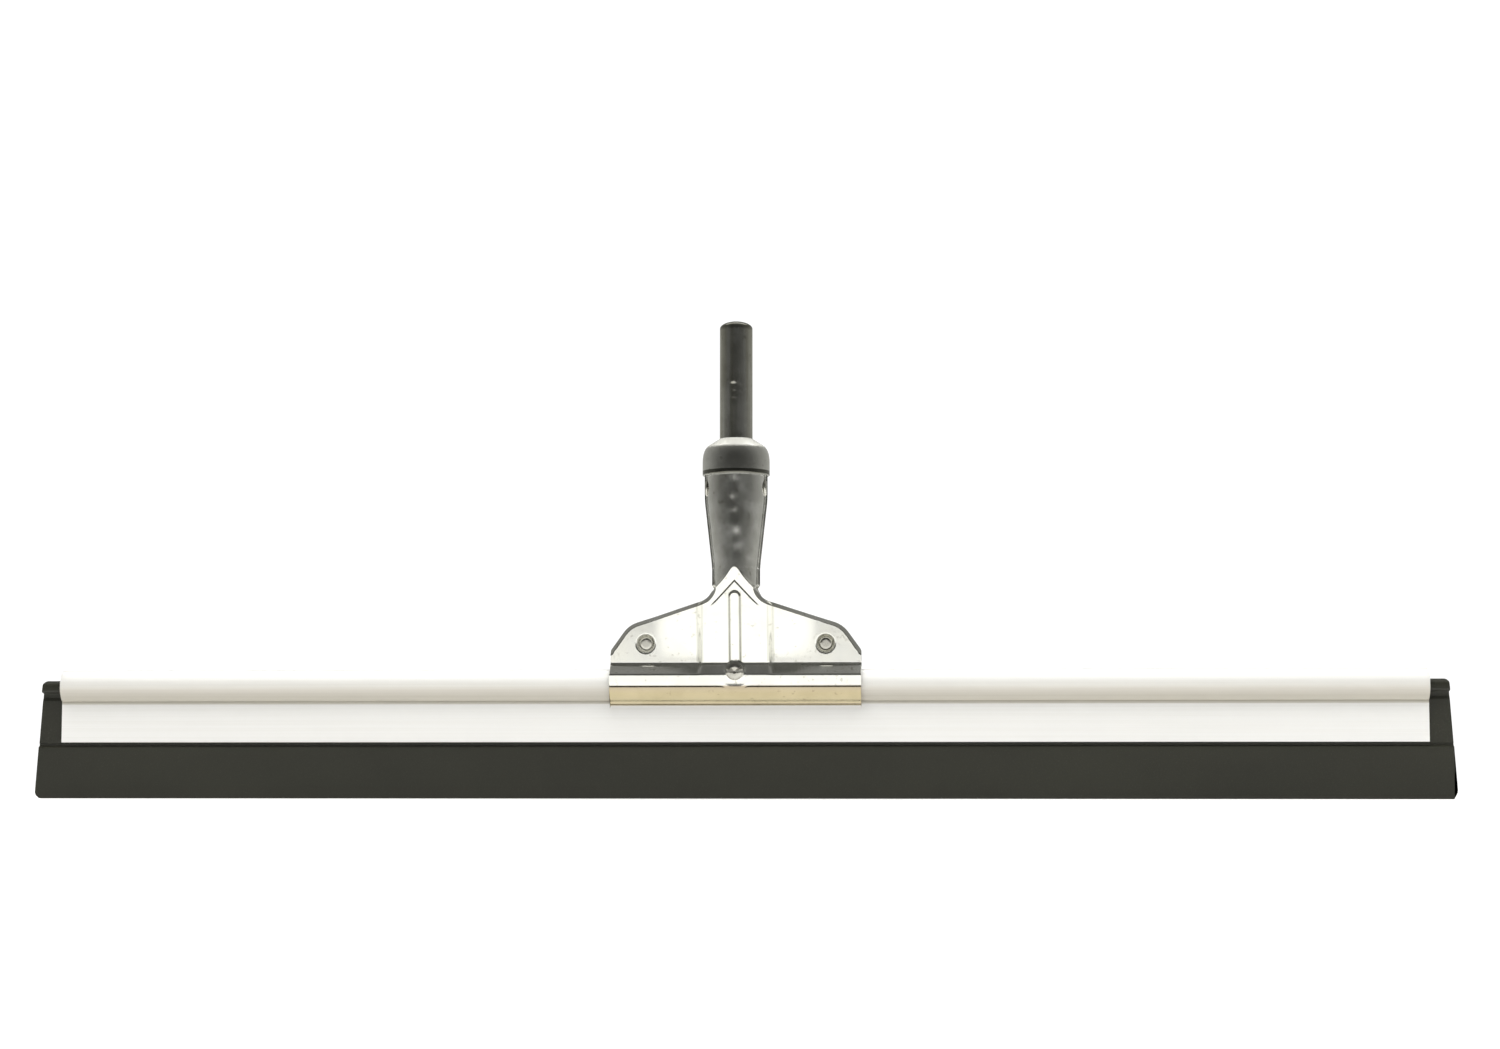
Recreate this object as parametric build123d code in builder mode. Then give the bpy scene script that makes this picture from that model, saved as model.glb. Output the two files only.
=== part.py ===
from build123d import *
import math
import os

# Window cleaning squeegee head: rubber blade, aluminium channel and a two-shell pressed steel bracket.
#
# Frame: origin in the middle of the blade's wiping edge, +X along the blade, +Z up along the stem,
# and the front of the bracket, with its screw head, faces -Y. Millimetres.

# ---- driving dimensions ----------------------------------------------------------------------
gap = 0.1                       # ordinary clearance between fixed pieces
run_gap = 0.05                  # radial running clearance of the clamp screw

# rubber blade
blade_length = 600.0            # nominal size of the tool, measured at the wiping edge
blade_top = 50.0
blade_end_lean = 3.2            # each end leans in by this much from the edge to the bead
blade_corner = 3.0              # rounded lower corner at -X
blade_bevel = 1.8               # bevelled lower corner at +X, as high as the rounded one
lip_height = 22.0
lip_half = 2.2
crease_half = 1.0               # groove under the channel's lips
crease_top = 23.3
web_half = 1.45
web_top = 41.5
bead_neck_half = 1.0
bead_neck_bottom = 42.5
bead_bottom = 44.8
bead_half = 4.4                 # the bead is a mushroom, wider than it is tall
bead_shoulder = 45.6

# aluminium channel
channel_length = 577.0
channel_wall = 1.2
channel_slot_half = 1.75        # half the gap between the two lips
channel_lip_half = channel_slot_half + channel_wall
channel_bottom = 23.8
tube_z = 47.5                   # centre of the round bead tube along the channel's top
tube_radius = 7.0
tube_bore = tube_radius - channel_wall
notch_width = 5.2               # locating notch in the crown, which the clamp screw drops into
notch_floor = 51.0

# bracket pressings
sheet = 1.2
bracket_half = 53.0             # half width over the wings and the jaws
jaw_bottom = 39.1
jaw_top = 56.8                  # where the jaw bends out of the wings
jaw_face_bottom = 48.5          # the jaw's upright face ends here, above the roll round the tube
jaw_face_edge = 8.5             # depth of that face at its lower edge
band_bottom = 52.1              # the jaw's sloping shoulder starts here
jaw_bend = 0.5                  # how far the bends at the shoulder's ends are eased inside
jaw_step = 1.0                  # depth that the shoulder keeps where it meets the wings
wing_depth = 3.2                # front face of a wing at its foot, from the parting plane
wing_top_depth = 5.4            # the wings lean out to this depth at the gable's apex
wing_corner_z = 62.6
wing_shoulder = (45.3, 73.2)    # corner between a wing's slanted end and its long sloping top
neck_corner_z = 84.5            # where that sloping top would meet the neck
outline_radii = [0.5, 2.5, 12.0, 14.0, 0.5]
panel_foot_depth = 5.2          # raised centre panel, at its foot
panel_half = 14.6
panel_draft = 10.0              # degrees, on the panel's sides
panel_spread = 1.7              # how much wider the panel is at the parting plane
gable_foot_z = 82.0
gable_apex_z = 97.0
neck_foot_z = 83.0              # the neck runs down behind the gable to here
neck_radius = 9.1               # half width of the neck, which is pinched from the sides only
taper_top = 127.0               # the socket is round and straight above this height
socket_radius = 12.3
socket_top = 141.0
rib_half = 2.3
rib_top = 87.0
rib_height = 0.8

# fasteners
rivet_x = 38.0
rivet_z = 65.3
rivet_shank = 1.6
rivet_head = 2.9
rivet_head_height = 1.1
rivet_round = 0.7
dimple_radius = 3.9
dimple_inner = 3.6
screw_z = 53.4
screw_shank = 2.0
screw_head = 3.8
screw_head_height = 2.3
screw_head_round = 1.3
screw_slot_half = 0.45
screw_slot_depth = 1.0
screw_point = 0.5
screw_proud = 0.9               # thread that shows beyond the nut
seat_face = 8.9                 # flat seats for the head and the washer, from the parting plane
seat_radius = 4.0
washer_radius = 4.3
washer_thick = 0.8
nut_flats = 7.0
nut_height = 3.2

# stem, ferrule and the pin across the socket
stem_radius = 7.0
stem_top = 202.9
stem_shoulder = 199.7           # the rounded end starts here
stem_relief_top = 153.2         # the bar is turned down slightly where it passes the ferrule
stem_relief_radius = 6.8
stem_relief_bottom = 146.0
plug_radius = socket_radius - sheet - gap
plug_shoulder = 141.0
stem_foot = 112.0
stem_foot_edge = 1.0
ferrule_top = 152.4
ferrule_bottom = 136.6
ferrule_tuck_z = 138.4          # the skirt turns in to the socket below this height
ferrule_radius = 14.3
ferrule_belly_z = 142.0
ferrule_cone = (11.6, 149.5)    # the conical top ends here and rounds over into the skirt
ferrule_cone_drop = 0.6         # how much lower the cone's inside ends
ferrule_wall = 1.15
pin_z = 131.4
pin_radius = 2.0
pin_head = 3.8
pin_head_height = 0.9
pin_head_round = 0.6

os.makedirs("parts", exist_ok=True)


def socket_wall(z):
    """Half width of the tapered socket at height z."""
    share = min(max((z - gable_apex_z) / (taper_top - gable_apex_z), 0.0), 1.0)
    return neck_radius + (socket_radius - neck_radius) * share


# ---- rubber blade ----------------------------------------------------------------------------
with BuildPart() as blade_rubber:
    with BuildSketch(Plane.YZ.offset(-blade_length / 2)) as blade_section:
        with BuildLine():
            Polyline(
                (0, blade_top), (0, 0), (lip_half, 0), (lip_half, lip_height), (crease_half, lip_height),
                (crease_half, crease_top), (web_half, crease_top), (web_half, web_top),
                (bead_neck_half, bead_neck_bottom), (bead_neck_half, bead_bottom),
                (bead_half, bead_shoulder),
            )
            EllipticalCenterArc((0, bead_shoulder), bead_half, blade_top - bead_shoulder, arc_size=90)
        make_face()
        mirror(about=Plane.YZ)
    extrude(amount=blade_length)
    with BuildSketch(Plane.XZ) as blade_outline:
        with BuildLine():
            half = blade_length / 2
            end_slope = blade_end_lean / blade_top
            left_end = -half + end_slope * blade_corner
            right_end = half - end_slope * blade_corner
            Polyline(
                (-half + blade_corner, 0), (half - blade_bevel, 0), (right_end, blade_corner),
                (half - blade_end_lean, blade_top), (-half + blade_end_lean, blade_top),
                (left_end, blade_corner),
            )
            TangentArc((left_end, blade_corner), (-half + blade_corner, 0), tangent=(-end_slope, -1))
        make_face()
    extrude(amount=2 * bead_half, both=True, mode=Mode.INTERSECT)
blade_rubber.part.label = "blade_rubber"

# ---- aluminium channel -----------------------------------------------------------------------
with BuildPart() as channel:
    with BuildSketch(Plane.YZ) as channel_section:
        with Locations((0, tube_z)):
            Circle(tube_radius)
        with Locations((0, (channel_bottom + tube_z) / 2)):
            Rectangle(2 * channel_lip_half, tube_z - channel_bottom)
        with Locations((0, tube_z)):
            Circle(tube_bore, mode=Mode.SUBTRACT)
        with Locations((0, (channel_bottom + tube_z) / 2)):
            Rectangle(2 * channel_slot_half, tube_z - channel_bottom, mode=Mode.SUBTRACT)
    extrude(amount=channel_length / 2, both=True)
    with Locations((0, 0, notch_floor + tube_radius)):
        Box(notch_width, 2 * tube_radius, 2 * tube_radius, mode=Mode.SUBTRACT)
channel.part.label = "channel"


# ---- bracket pressings -----------------------------------------------------------------------
def pressed_form(inset):
    """Wings, socket and gabled panel as one solid block, drawn in by inset from the outer faces."""
    outline_foot = jaw_top - jaw_bend - 2 * inset
    panel_foot = jaw_top - jaw_bend - inset
    neck_bottom = neck_foot_z + 2 * inset
    far = -3 * socket_radius
    with BuildPart() as form:
        # wings, which lean out towards the neck
        with BuildSketch(Plane.XZ):
            with BuildLine():
                FilletPolyline(
                    (0, outline_foot), (bracket_half, outline_foot), (bracket_half, wing_corner_z),
                    wing_shoulder, (neck_radius, neck_corner_z), (neck_radius, gable_apex_z),
                    (0, gable_apex_z), radius=outline_radii,
                )
                Line((0, gable_apex_z), (0, outline_foot))
            make_face()
            mirror(about=Plane.YZ)
            if inset:
                offset(amount=-inset, mode=Mode.REPLACE)
        extrude(amount=wing_top_depth - inset)
        with BuildSketch(Plane.YZ):
            Polygon(
                (inset - wing_depth, 0), (inset - wing_depth, jaw_top),
                (inset - wing_top_depth, gable_apex_z), (far, gable_apex_z), (far, 0), align=None,
            )
        extrude(amount=bracket_half, both=True, mode=Mode.SUBTRACT)
        # gabled centre panel and the neck behind it, both cut by the panel's slanted face
        with BuildSketch(Plane.XZ):
            with BuildLine():
                side = panel_half + panel_spread - inset
                Polyline(
                    (0, panel_foot), (side, panel_foot), (side, gable_foot_z),
                    (0, gable_apex_z + panel_spread - inset), (0, panel_foot),
                )
            make_face()
            mirror(about=Plane.YZ)
        extrude(amount=socket_radius - inset, taper=panel_draft)
        with BuildSketch(Plane.XY.offset(neck_bottom)):
            Ellipse(neck_radius - inset, socket_radius - inset)
        extrude(amount=gable_apex_z - neck_bottom)
        with BuildSketch(Plane.YZ):
            Polygon(
                (inset - panel_foot_depth, jaw_top), (inset - socket_radius, gable_apex_z),
                (far, gable_apex_z), (far, 0), (inset - panel_foot_depth, 0), align=None,
            )
        extrude(amount=bracket_half, both=True, mode=Mode.SUBTRACT)
        # socket, from the pinched neck to the round top
        for level in (gable_apex_z, taper_top):
            with BuildSketch(Plane.XY.offset(level)):
                Ellipse(socket_wall(level) - inset, socket_radius - inset)
        loft()
        with BuildSketch(Plane.XY.offset(taper_top)):
            Circle(socket_radius - inset)
        extrude(amount=socket_top + inset - taper_top)
        # front half only
        with BuildSketch(Plane.XZ):
            with Locations((0, socket_top / 2)):
                Rectangle(4 * bracket_half, 2 * socket_top)
        extrude(amount=2 * socket_radius, mode=Mode.INTERSECT)
    return form.part


def jaw_point(depth, z):
    """Point of the front jaw's section, given its depth in front of the parting plane."""
    return (-depth, z)


def roll_sweep(reach, radius):
    """Degrees that the jaw's roll turns under the tube before it comes in to the given depth."""
    return math.degrees(math.acos(reach / radius))


panel_face = Plane(
    origin=(0, -panel_foot_depth, jaw_top),
    x_dir=(1, 0, 0),
    z_dir=(0, jaw_top - gable_apex_z, panel_foot_depth - socket_radius),
)
outer_block = pressed_form(0)
inner_block = pressed_form(sheet)

with BuildPart() as front_shell:
    add(outer_block)
    add(inner_block, mode=Mode.SUBTRACT)
    # jaw: shoulder, upright face, and a roll round the tube that ends along the channel's lips
    with BuildSketch(Plane.YZ) as jaw_section:
        with BuildLine():
            bore = tube_radius + gap
            jaw_radius = bore + sheet
            lip_face = channel_lip_half + gap
            outer_roll = CenterArc((0, tube_z), jaw_radius, 180, roll_sweep(lip_face + sheet, jaw_radius))
            inner_roll = CenterArc((0, tube_z), bore, 180, roll_sweep(lip_face, bore))
            Polyline(
                outer_roll @ 1, jaw_point(lip_face + sheet, jaw_bottom), jaw_point(lip_face, jaw_bottom),
                inner_roll @ 1,
            )
            Polyline(
                inner_roll @ 0, jaw_point(jaw_face_edge - sheet, jaw_face_bottom),
                jaw_point(seat_face - sheet, band_bottom - jaw_bend),
                jaw_point(wing_depth - sheet + jaw_bend, jaw_top - jaw_bend),
                jaw_point(wing_depth - sheet, jaw_top + sheet),
                jaw_point(wing_depth + run_gap, jaw_top + sheet), jaw_point(wing_depth + jaw_step, jaw_top),
                jaw_point(seat_face, band_bottom), jaw_point(jaw_face_edge, jaw_face_bottom),
                outer_roll @ 0,
            )
        make_face()
    extrude(amount=bracket_half, both=True)
    # stiffening rib
    with BuildSketch(panel_face):
        with Locations((0, (rib_top - jaw_top) / 2)):
            SlotOverall(rib_top - jaw_top, 2 * rib_half, rotation=90)
    extrude(amount=rib_height)
    # flat screw seat on the jaw's shoulder, and dimples that bring the wings together at the rivets
    with BuildSketch(Plane.XZ.offset(tube_bore)):
        with Locations((0, screw_z)):
            Circle(seat_radius)
    extrude(amount=seat_face - tube_bore)
    with BuildSketch(Plane.XZ):
        with Locations((-rivet_x, rivet_z), (rivet_x, rivet_z)):
            Circle(dimple_radius)
    extrude(amount=wing_depth)
    with BuildSketch(Plane.XZ.offset(sheet)):
        with Locations((-rivet_x, rivet_z), (rivet_x, rivet_z)):
            Circle(dimple_inner)
    extrude(amount=wing_depth, mode=Mode.SUBTRACT)
    # holes for the rivets and the screw
    with BuildSketch(Plane.XZ):
        with Locations((-rivet_x, rivet_z), (rivet_x, rivet_z)):
            Circle(rivet_shank + gap)
        with Locations((0, screw_z)):
            Circle(screw_shank + run_gap)
    extrude(amount=2 * seat_face, mode=Mode.SUBTRACT)
    # bore of the jaw, and the half hole of the pin across the socket
    with BuildSketch(Plane.YZ):
        with Locations((0, tube_z)):
            Circle(bore)
    extrude(amount=bracket_half, both=True, mode=Mode.SUBTRACT)
    with BuildSketch(Plane.YZ):
        with Locations((0, pin_z)):
            Circle(pin_radius + gap)
    extrude(amount=2 * socket_radius, both=True, mode=Mode.SUBTRACT)
front_shell.part.label = "front_shell"

with BuildPart() as rear_shell:
    add(front_shell.part.mirror(Plane.XZ))
rear_shell.part.label = "rear_shell"

# ---- stem, ferrule and socket pin ------------------------------------------------------------
with BuildPart() as stem:
    with BuildSketch(Plane.XZ) as stem_profile:
        with BuildLine():
            cone_bottom = stem_foot + stem_foot_edge
            foot_radius = socket_wall(cone_bottom) - sheet - gap
            Polyline(
                (0, stem_top), (0, stem_foot), (foot_radius - stem_foot_edge, stem_foot),
                (foot_radius, cone_bottom), (plug_radius, taper_top), (plug_radius, plug_shoulder),
                (stem_relief_radius, stem_relief_bottom), (stem_relief_radius, stem_relief_top),
                (stem_radius, stem_relief_top), (stem_radius, stem_shoulder),
            )
            Spline((stem_radius, stem_shoulder), (0, stem_top), tangents=[(0, 1), (-1, 0)])
        make_face()
    revolve(axis=Axis.Z)
    with BuildSketch(Plane.YZ):
        with Locations((0, pin_z)):
            Circle(pin_radius + gap)
    extrude(amount=socket_radius, both=True, mode=Mode.SUBTRACT)
stem.part.label = "stem"

with BuildPart() as ferrule:
    with BuildSketch(Plane.XZ) as ferrule_profile:
        with BuildLine():
            rim = socket_radius + gap
            inner_radius = ferrule_radius - ferrule_wall
            cone_x, cone_z = ferrule_cone
            cone_line = (cone_x - stem_radius, cone_z - ferrule_top)
            hollow_cone = (cone_x - ferrule_wall, cone_z - ferrule_cone_drop)
            Spline(ferrule_cone, (ferrule_radius, ferrule_belly_z), tangents=[cone_line, (0, -1)])
            Spline(hollow_cone, (inner_radius, ferrule_belly_z), tangents=[cone_line, (0, -1)])
            Polyline(
                ferrule_cone, (stem_radius, ferrule_top), (stem_radius, ferrule_top - ferrule_wall),
                hollow_cone,
            )
            Polyline(
                (ferrule_radius, ferrule_belly_z), (ferrule_radius, ferrule_tuck_z),
                (rim + ferrule_wall, ferrule_bottom), (rim, ferrule_bottom), (inner_radius, ferrule_tuck_z),
                (inner_radius, ferrule_belly_z),
            )
        make_face()
    revolve(axis=Axis.Z)
ferrule.part.label = "ferrule"

with BuildPart() as socket_pin:
    with BuildSketch(Plane.YZ):
        with Locations((0, pin_z)):
            Circle(pin_radius)
    extrude(amount=socket_radius, both=True)
    for head_start in (socket_radius, -socket_radius - pin_head_height):
        with BuildSketch(Plane.YZ.offset(head_start)):
            with Locations((0, pin_z)):
                Circle(pin_head)
        extrude(amount=pin_head_height)
    head_edges = socket_pin.edges().group_by(Axis.X)
    fillet(head_edges[0] + head_edges[-1], pin_head_round)
socket_pin.part.label = "socket_pin"

# ---- wing rivets -----------------------------------------------------------------------------
with BuildPart() as wing_rivets:
    with BuildSketch(Plane.XZ):
        with Locations((-rivet_x, rivet_z), (rivet_x, rivet_z)):
            Circle(rivet_shank)
    extrude(amount=sheet, both=True)
    for head_start in (sheet, -sheet - rivet_head_height):
        with BuildSketch(Plane.XZ.offset(head_start)):
            with Locations((-rivet_x, rivet_z), (rivet_x, rivet_z)):
                Circle(rivet_head)
        extrude(amount=rivet_head_height)
    head_edges = wing_rivets.edges().group_by(Axis.Y)
    fillet(head_edges[0] + head_edges[-1], rivet_round)
wing_rivets.part.label = "wing_rivets"

# ---- clamp screw with its washer and nut -----------------------------------------------------
head_seat = seat_face + run_gap
nut_face = seat_face + gap + washer_thick + gap
screw_end = nut_face + nut_height + screw_proud

with BuildPart() as clamp_screw:
    with BuildSketch(Plane.XZ.offset(head_seat)):
        with Locations((0, screw_z)):
            Circle(screw_head)
    extrude(amount=screw_head_height)
    fillet(clamp_screw.edges().group_by(Axis.Y)[0], screw_head_round)
    with BuildSketch(Plane.XZ.offset(head_seat)):
        with Locations((0, screw_z)):
            Circle(screw_shank)
    extrude(amount=-(head_seat + screw_end))
    chamfer(clamp_screw.edges().group_by(Axis.Y)[-1], screw_point)
    with Locations((0, -(head_seat + screw_head_height), screw_z)):
        Box(2 * screw_head, 2 * screw_slot_depth, 2 * screw_slot_half, mode=Mode.SUBTRACT)
clamp_screw.part.label = "clamp_screw"

with BuildPart() as clamp_washer:
    with BuildSketch(Plane.XZ.offset(-seat_face - gap - washer_thick)):
        with Locations((0, screw_z)):
            Circle(washer_radius)
            Circle(screw_shank + run_gap, mode=Mode.SUBTRACT)
    extrude(amount=washer_thick)
clamp_washer.part.label = "clamp_washer"

with BuildPart() as clamp_nut:
    with BuildSketch(Plane.XZ.offset(-nut_face - nut_height)):
        with Locations((0, screw_z)):
            RegularPolygon(nut_flats / 2, 6, major_radius=False)
            Circle(screw_shank + run_gap, mode=Mode.SUBTRACT)
    extrude(amount=nut_height)
clamp_nut.part.label = "clamp_nut"

pieces = (
    blade_rubber, channel, front_shell, rear_shell, stem, ferrule, socket_pin, wing_rivets,
    clamp_screw, clamp_washer, clamp_nut,
)
for piece in pieces:
    export_step(piece.part, f"parts/{piece.part.label}.step")
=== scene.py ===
"""Looks of the window cleaning squeegee head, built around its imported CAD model."""
import math

import bpy
import numpy as np
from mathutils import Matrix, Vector


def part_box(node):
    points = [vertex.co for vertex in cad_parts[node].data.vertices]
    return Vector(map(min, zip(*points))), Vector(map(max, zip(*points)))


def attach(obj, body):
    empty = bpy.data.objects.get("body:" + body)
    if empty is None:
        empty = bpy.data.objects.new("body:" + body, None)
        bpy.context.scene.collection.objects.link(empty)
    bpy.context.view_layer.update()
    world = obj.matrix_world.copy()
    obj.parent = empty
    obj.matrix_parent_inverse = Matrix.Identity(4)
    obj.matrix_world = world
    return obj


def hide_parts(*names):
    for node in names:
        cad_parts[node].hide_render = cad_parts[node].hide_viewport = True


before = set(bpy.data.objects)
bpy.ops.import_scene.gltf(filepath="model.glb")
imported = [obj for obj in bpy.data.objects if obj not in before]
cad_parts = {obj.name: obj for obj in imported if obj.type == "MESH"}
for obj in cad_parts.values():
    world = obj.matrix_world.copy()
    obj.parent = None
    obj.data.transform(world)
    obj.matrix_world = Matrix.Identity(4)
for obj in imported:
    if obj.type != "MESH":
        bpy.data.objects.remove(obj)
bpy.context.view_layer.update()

MM = 0.001


def low_high(node):
    """A CAD node's lowest and highest corners in millimetres."""
    low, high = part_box(node)
    return np.array(low) / MM, np.array(high) / MM


# ---- sizes in millimetres, from the frame where a node's box gives them -------------------------
BLADE_HIGH = low_high("blade_rubber")[1]
CHANNEL_LOW, CHANNEL_HIGH = low_high("channel")
SHELL_LOW, SHELL_HIGH = low_high("front_shell")
STEM_LOW, STEM_HIGH = low_high("stem")
FERRULE_LOW, FERRULE_HIGH = low_high("ferrule")
PIN_LOW, PIN_HIGH = low_high("socket_pin")
RIVET_LOW, RIVET_HIGH = low_high("wing_rivets")
SCREW_LOW, SCREW_HIGH = low_high("clamp_screw")
WASHER_LOW, WASHER_HIGH = low_high("clamp_washer")
NUT_LOW, NUT_HIGH = low_high("clamp_nut")

BLADE_HALF = BLADE_HIGH[0]
BLADE_TOP = BLADE_HIGH[2]
END_LEAN = 3.0                  # the blade's ends lean in by this much over their height
LIP_HALF = 2.2                  # the wiping lip's half thickness
LIP_HEIGHT = 22.0
WEB_HALF = 1.45                 # the rubber between the channel's lips
WEB_TOP = 41.5
CUT_HALF = 1.0                  # the thin cuts above the lip and under the bead
TUBE_RADIUS = CHANNEL_HIGH[1]
TUBE_Z = CHANNEL_HIGH[2] - TUBE_RADIUS
CHANNEL_BOTTOM = CHANNEL_LOW[2]
CHANNEL_HALF = CHANNEL_HIGH[0]
CHANNEL_LIP_HALF = 2.95
CHANNEL_WALL = 1.2
SHEET = 1.2
BRACKET_HALF = SHELL_HIGH[0]
JAW_BOTTOM = SHELL_LOW[2]
JAW_TOP = 56.8
SOCKET_TOP = SHELL_HIGH[2]
SOCKET_RADIUS = -SHELL_LOW[1]
NECK_RADIUS = 9.1
TAPER_TOP = 127.0
GABLE_APEX_Z = 97.0
GABLE_FOOT = (14.0, 82.0)       # the gable's line runs from here up to its apex
SEAT_FACE = 8.9
BAND_BOTTOM = 52.1              # the jaw's sloping shoulder runs from here up to JAW_TOP
CREASE_Z = 47.6
WING_FOOT, WING_TOP = 3.2, 5.4  # depth of the wings' face at JAW_TOP and at GABLE_APEX_Z
PANEL_FOOT = 5.2                # depth of the centre panel at JAW_TOP
PANEL_EDGE, PANEL_STEP = 16.2, 2.6
RIB_HALF, RIB_RISE, RIB_SIDE_WIDTH = 2.7, 0.9, 1.0
RIB_TOP = 87.0
DIMPLE_RADIUS, DIMPLE_SIDE = 4.2, 1.5
SEAT_RADIUS, SEAT_SIDE = 4.6, 0.6
STEM_RADIUS = 7.0
RIVET_X = RIVET_HIGH[0] - (RIVET_HIGH[2] - RIVET_LOW[2]) / 2
RIVET_Z = (RIVET_LOW[2] + RIVET_HIGH[2]) / 2
SCREW_Z = (SCREW_LOW[2] + SCREW_HIGH[2]) / 2
PIN_Z = (PIN_LOW[2] + PIN_HIGH[2]) / 2
NEAR_AXIS = 0.02                # turned profiles stop just short of their axis
THREAD_HOLE = 2.08              # the washer's and the nut's hole, round the screw's shank


# ---- mesh helpers -------------------------------------------------------------------------------
def new_piece(name, points, faces, material, body, slot, nodes, sharp=35.0):
    """A mesh piece from points in millimetres, riding on a body and standing for CAD nodes."""
    mesh = bpy.data.meshes.new(name)
    mesh.from_pydata([tuple(float(c) * MM for c in p) for p in points], [], faces)
    mesh.validate()
    mesh.shade_smooth()
    mesh.set_sharp_from_angle(angle=math.radians(sharp))
    mesh.materials.append(material)
    piece = bpy.data.objects.new(name, mesh)
    bpy.context.scene.collection.objects.link(piece)
    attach(piece, body)
    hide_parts(*nodes)
    return piece


def round_corners(points, radii, steps=5):
    """A closed outline, its corners rounded by curves that reach as far as arcs of the given radii."""
    out = []
    count = len(points)
    for i, (point, radius) in enumerate(zip(points, radii)):
        p = np.array(point, float)
        before = np.array(points[i - 1], float) - p
        after = np.array(points[(i + 1) % count], float) - p
        if radius <= 0:
            out.append(tuple(p))
            continue
        a, b = before / np.linalg.norm(before), after / np.linalg.norm(after)
        half_angle = math.acos(max(-1.0, min(1.0, float(a @ b)))) / 2
        shorter = min(np.linalg.norm(before), np.linalg.norm(after))
        reach = min(radius / math.tan(half_angle), shorter / 2.05)
        start, end = p + a * reach, p + b * reach
        for k in range(steps + 1):
            t = k / steps
            out.append(tuple((1 - t) ** 2 * start + 2 * t * (1 - t) * p + t * t * end))
    return out


def subdivide(points, longest):
    """A closed outline with points added so that no step is longer than longest."""
    out = []
    for i, point in enumerate(points):
        p, q = np.array(point), np.array(points[(i + 1) % len(points)])
        parts = max(1, math.ceil(np.linalg.norm(q - p) / longest))
        out.extend(tuple(p + (q - p) * k / parts) for k in range(parts))
    return out


def ring_faces(rings, around):
    """Quads between consecutive rings of the same number of points, with the end rings filled."""
    faces = []
    for i in range(rings - 1):
        for j in range(around):
            a, b = i * around + j, i * around + (j + 1) % around
            faces.append((a, b, b + around, a + around))
    faces.append(tuple(range(around - 1, -1, -1)))
    faces.append(tuple(range((rings - 1) * around, rings * around)))
    return faces


def loop_faces(rings, around):
    """Quads between rings whose last one joins the first, for a ring-shaped solid."""
    faces = []
    for i in range(rings):
        for j in range(around):
            a, b = i * around + j, i * around + (j + 1) % around
            c, d = (i + 1) % rings * around + (j + 1) % around, (i + 1) % rings * around + j
            faces.append((a, b, c, d))
    return faces


def along_x(name, section, stations, end_reach, *args, **kwargs):
    """A bar of constant section along X. end_reach(z, side) is how far each end goes at height z."""
    points = []
    for s in stations:
        for y, z in section:
            left, right = end_reach(z, -1), end_reach(z, 1)
            points.append((-left + (left + right) * s, y, z))
    return new_piece(name, points, ring_faces(len(stations), len(section)), *args, **kwargs)


def turned(profile, axis, centre, around=96):
    """Points and faces of a closed surface turned from (radius, height) about an axis through centre."""
    centre = Vector(centre)
    axis = Vector(axis).normalized()
    side = axis.orthogonal().normalized()
    other = axis.cross(side)
    points = []
    for radius, height in profile:
        for k in range(around):
            angle = 2 * math.pi * k / around
            outward = side * math.cos(angle) + other * math.sin(angle)
            points.append(centre + axis * height + outward * radius)
    return points, ring_faces(len(profile), around)


def smooth_step(x):
    """0 below 0, 1 above 1, and smooth between."""
    x = np.clip(x, 0.0, 1.0)
    return x * x * (3 - 2 * x)


def fade(value, start, end):
    """0 on the start's side, 1 on the end's side, and smooth between them."""
    return smooth_step((value - start) / (end - start))


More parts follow.
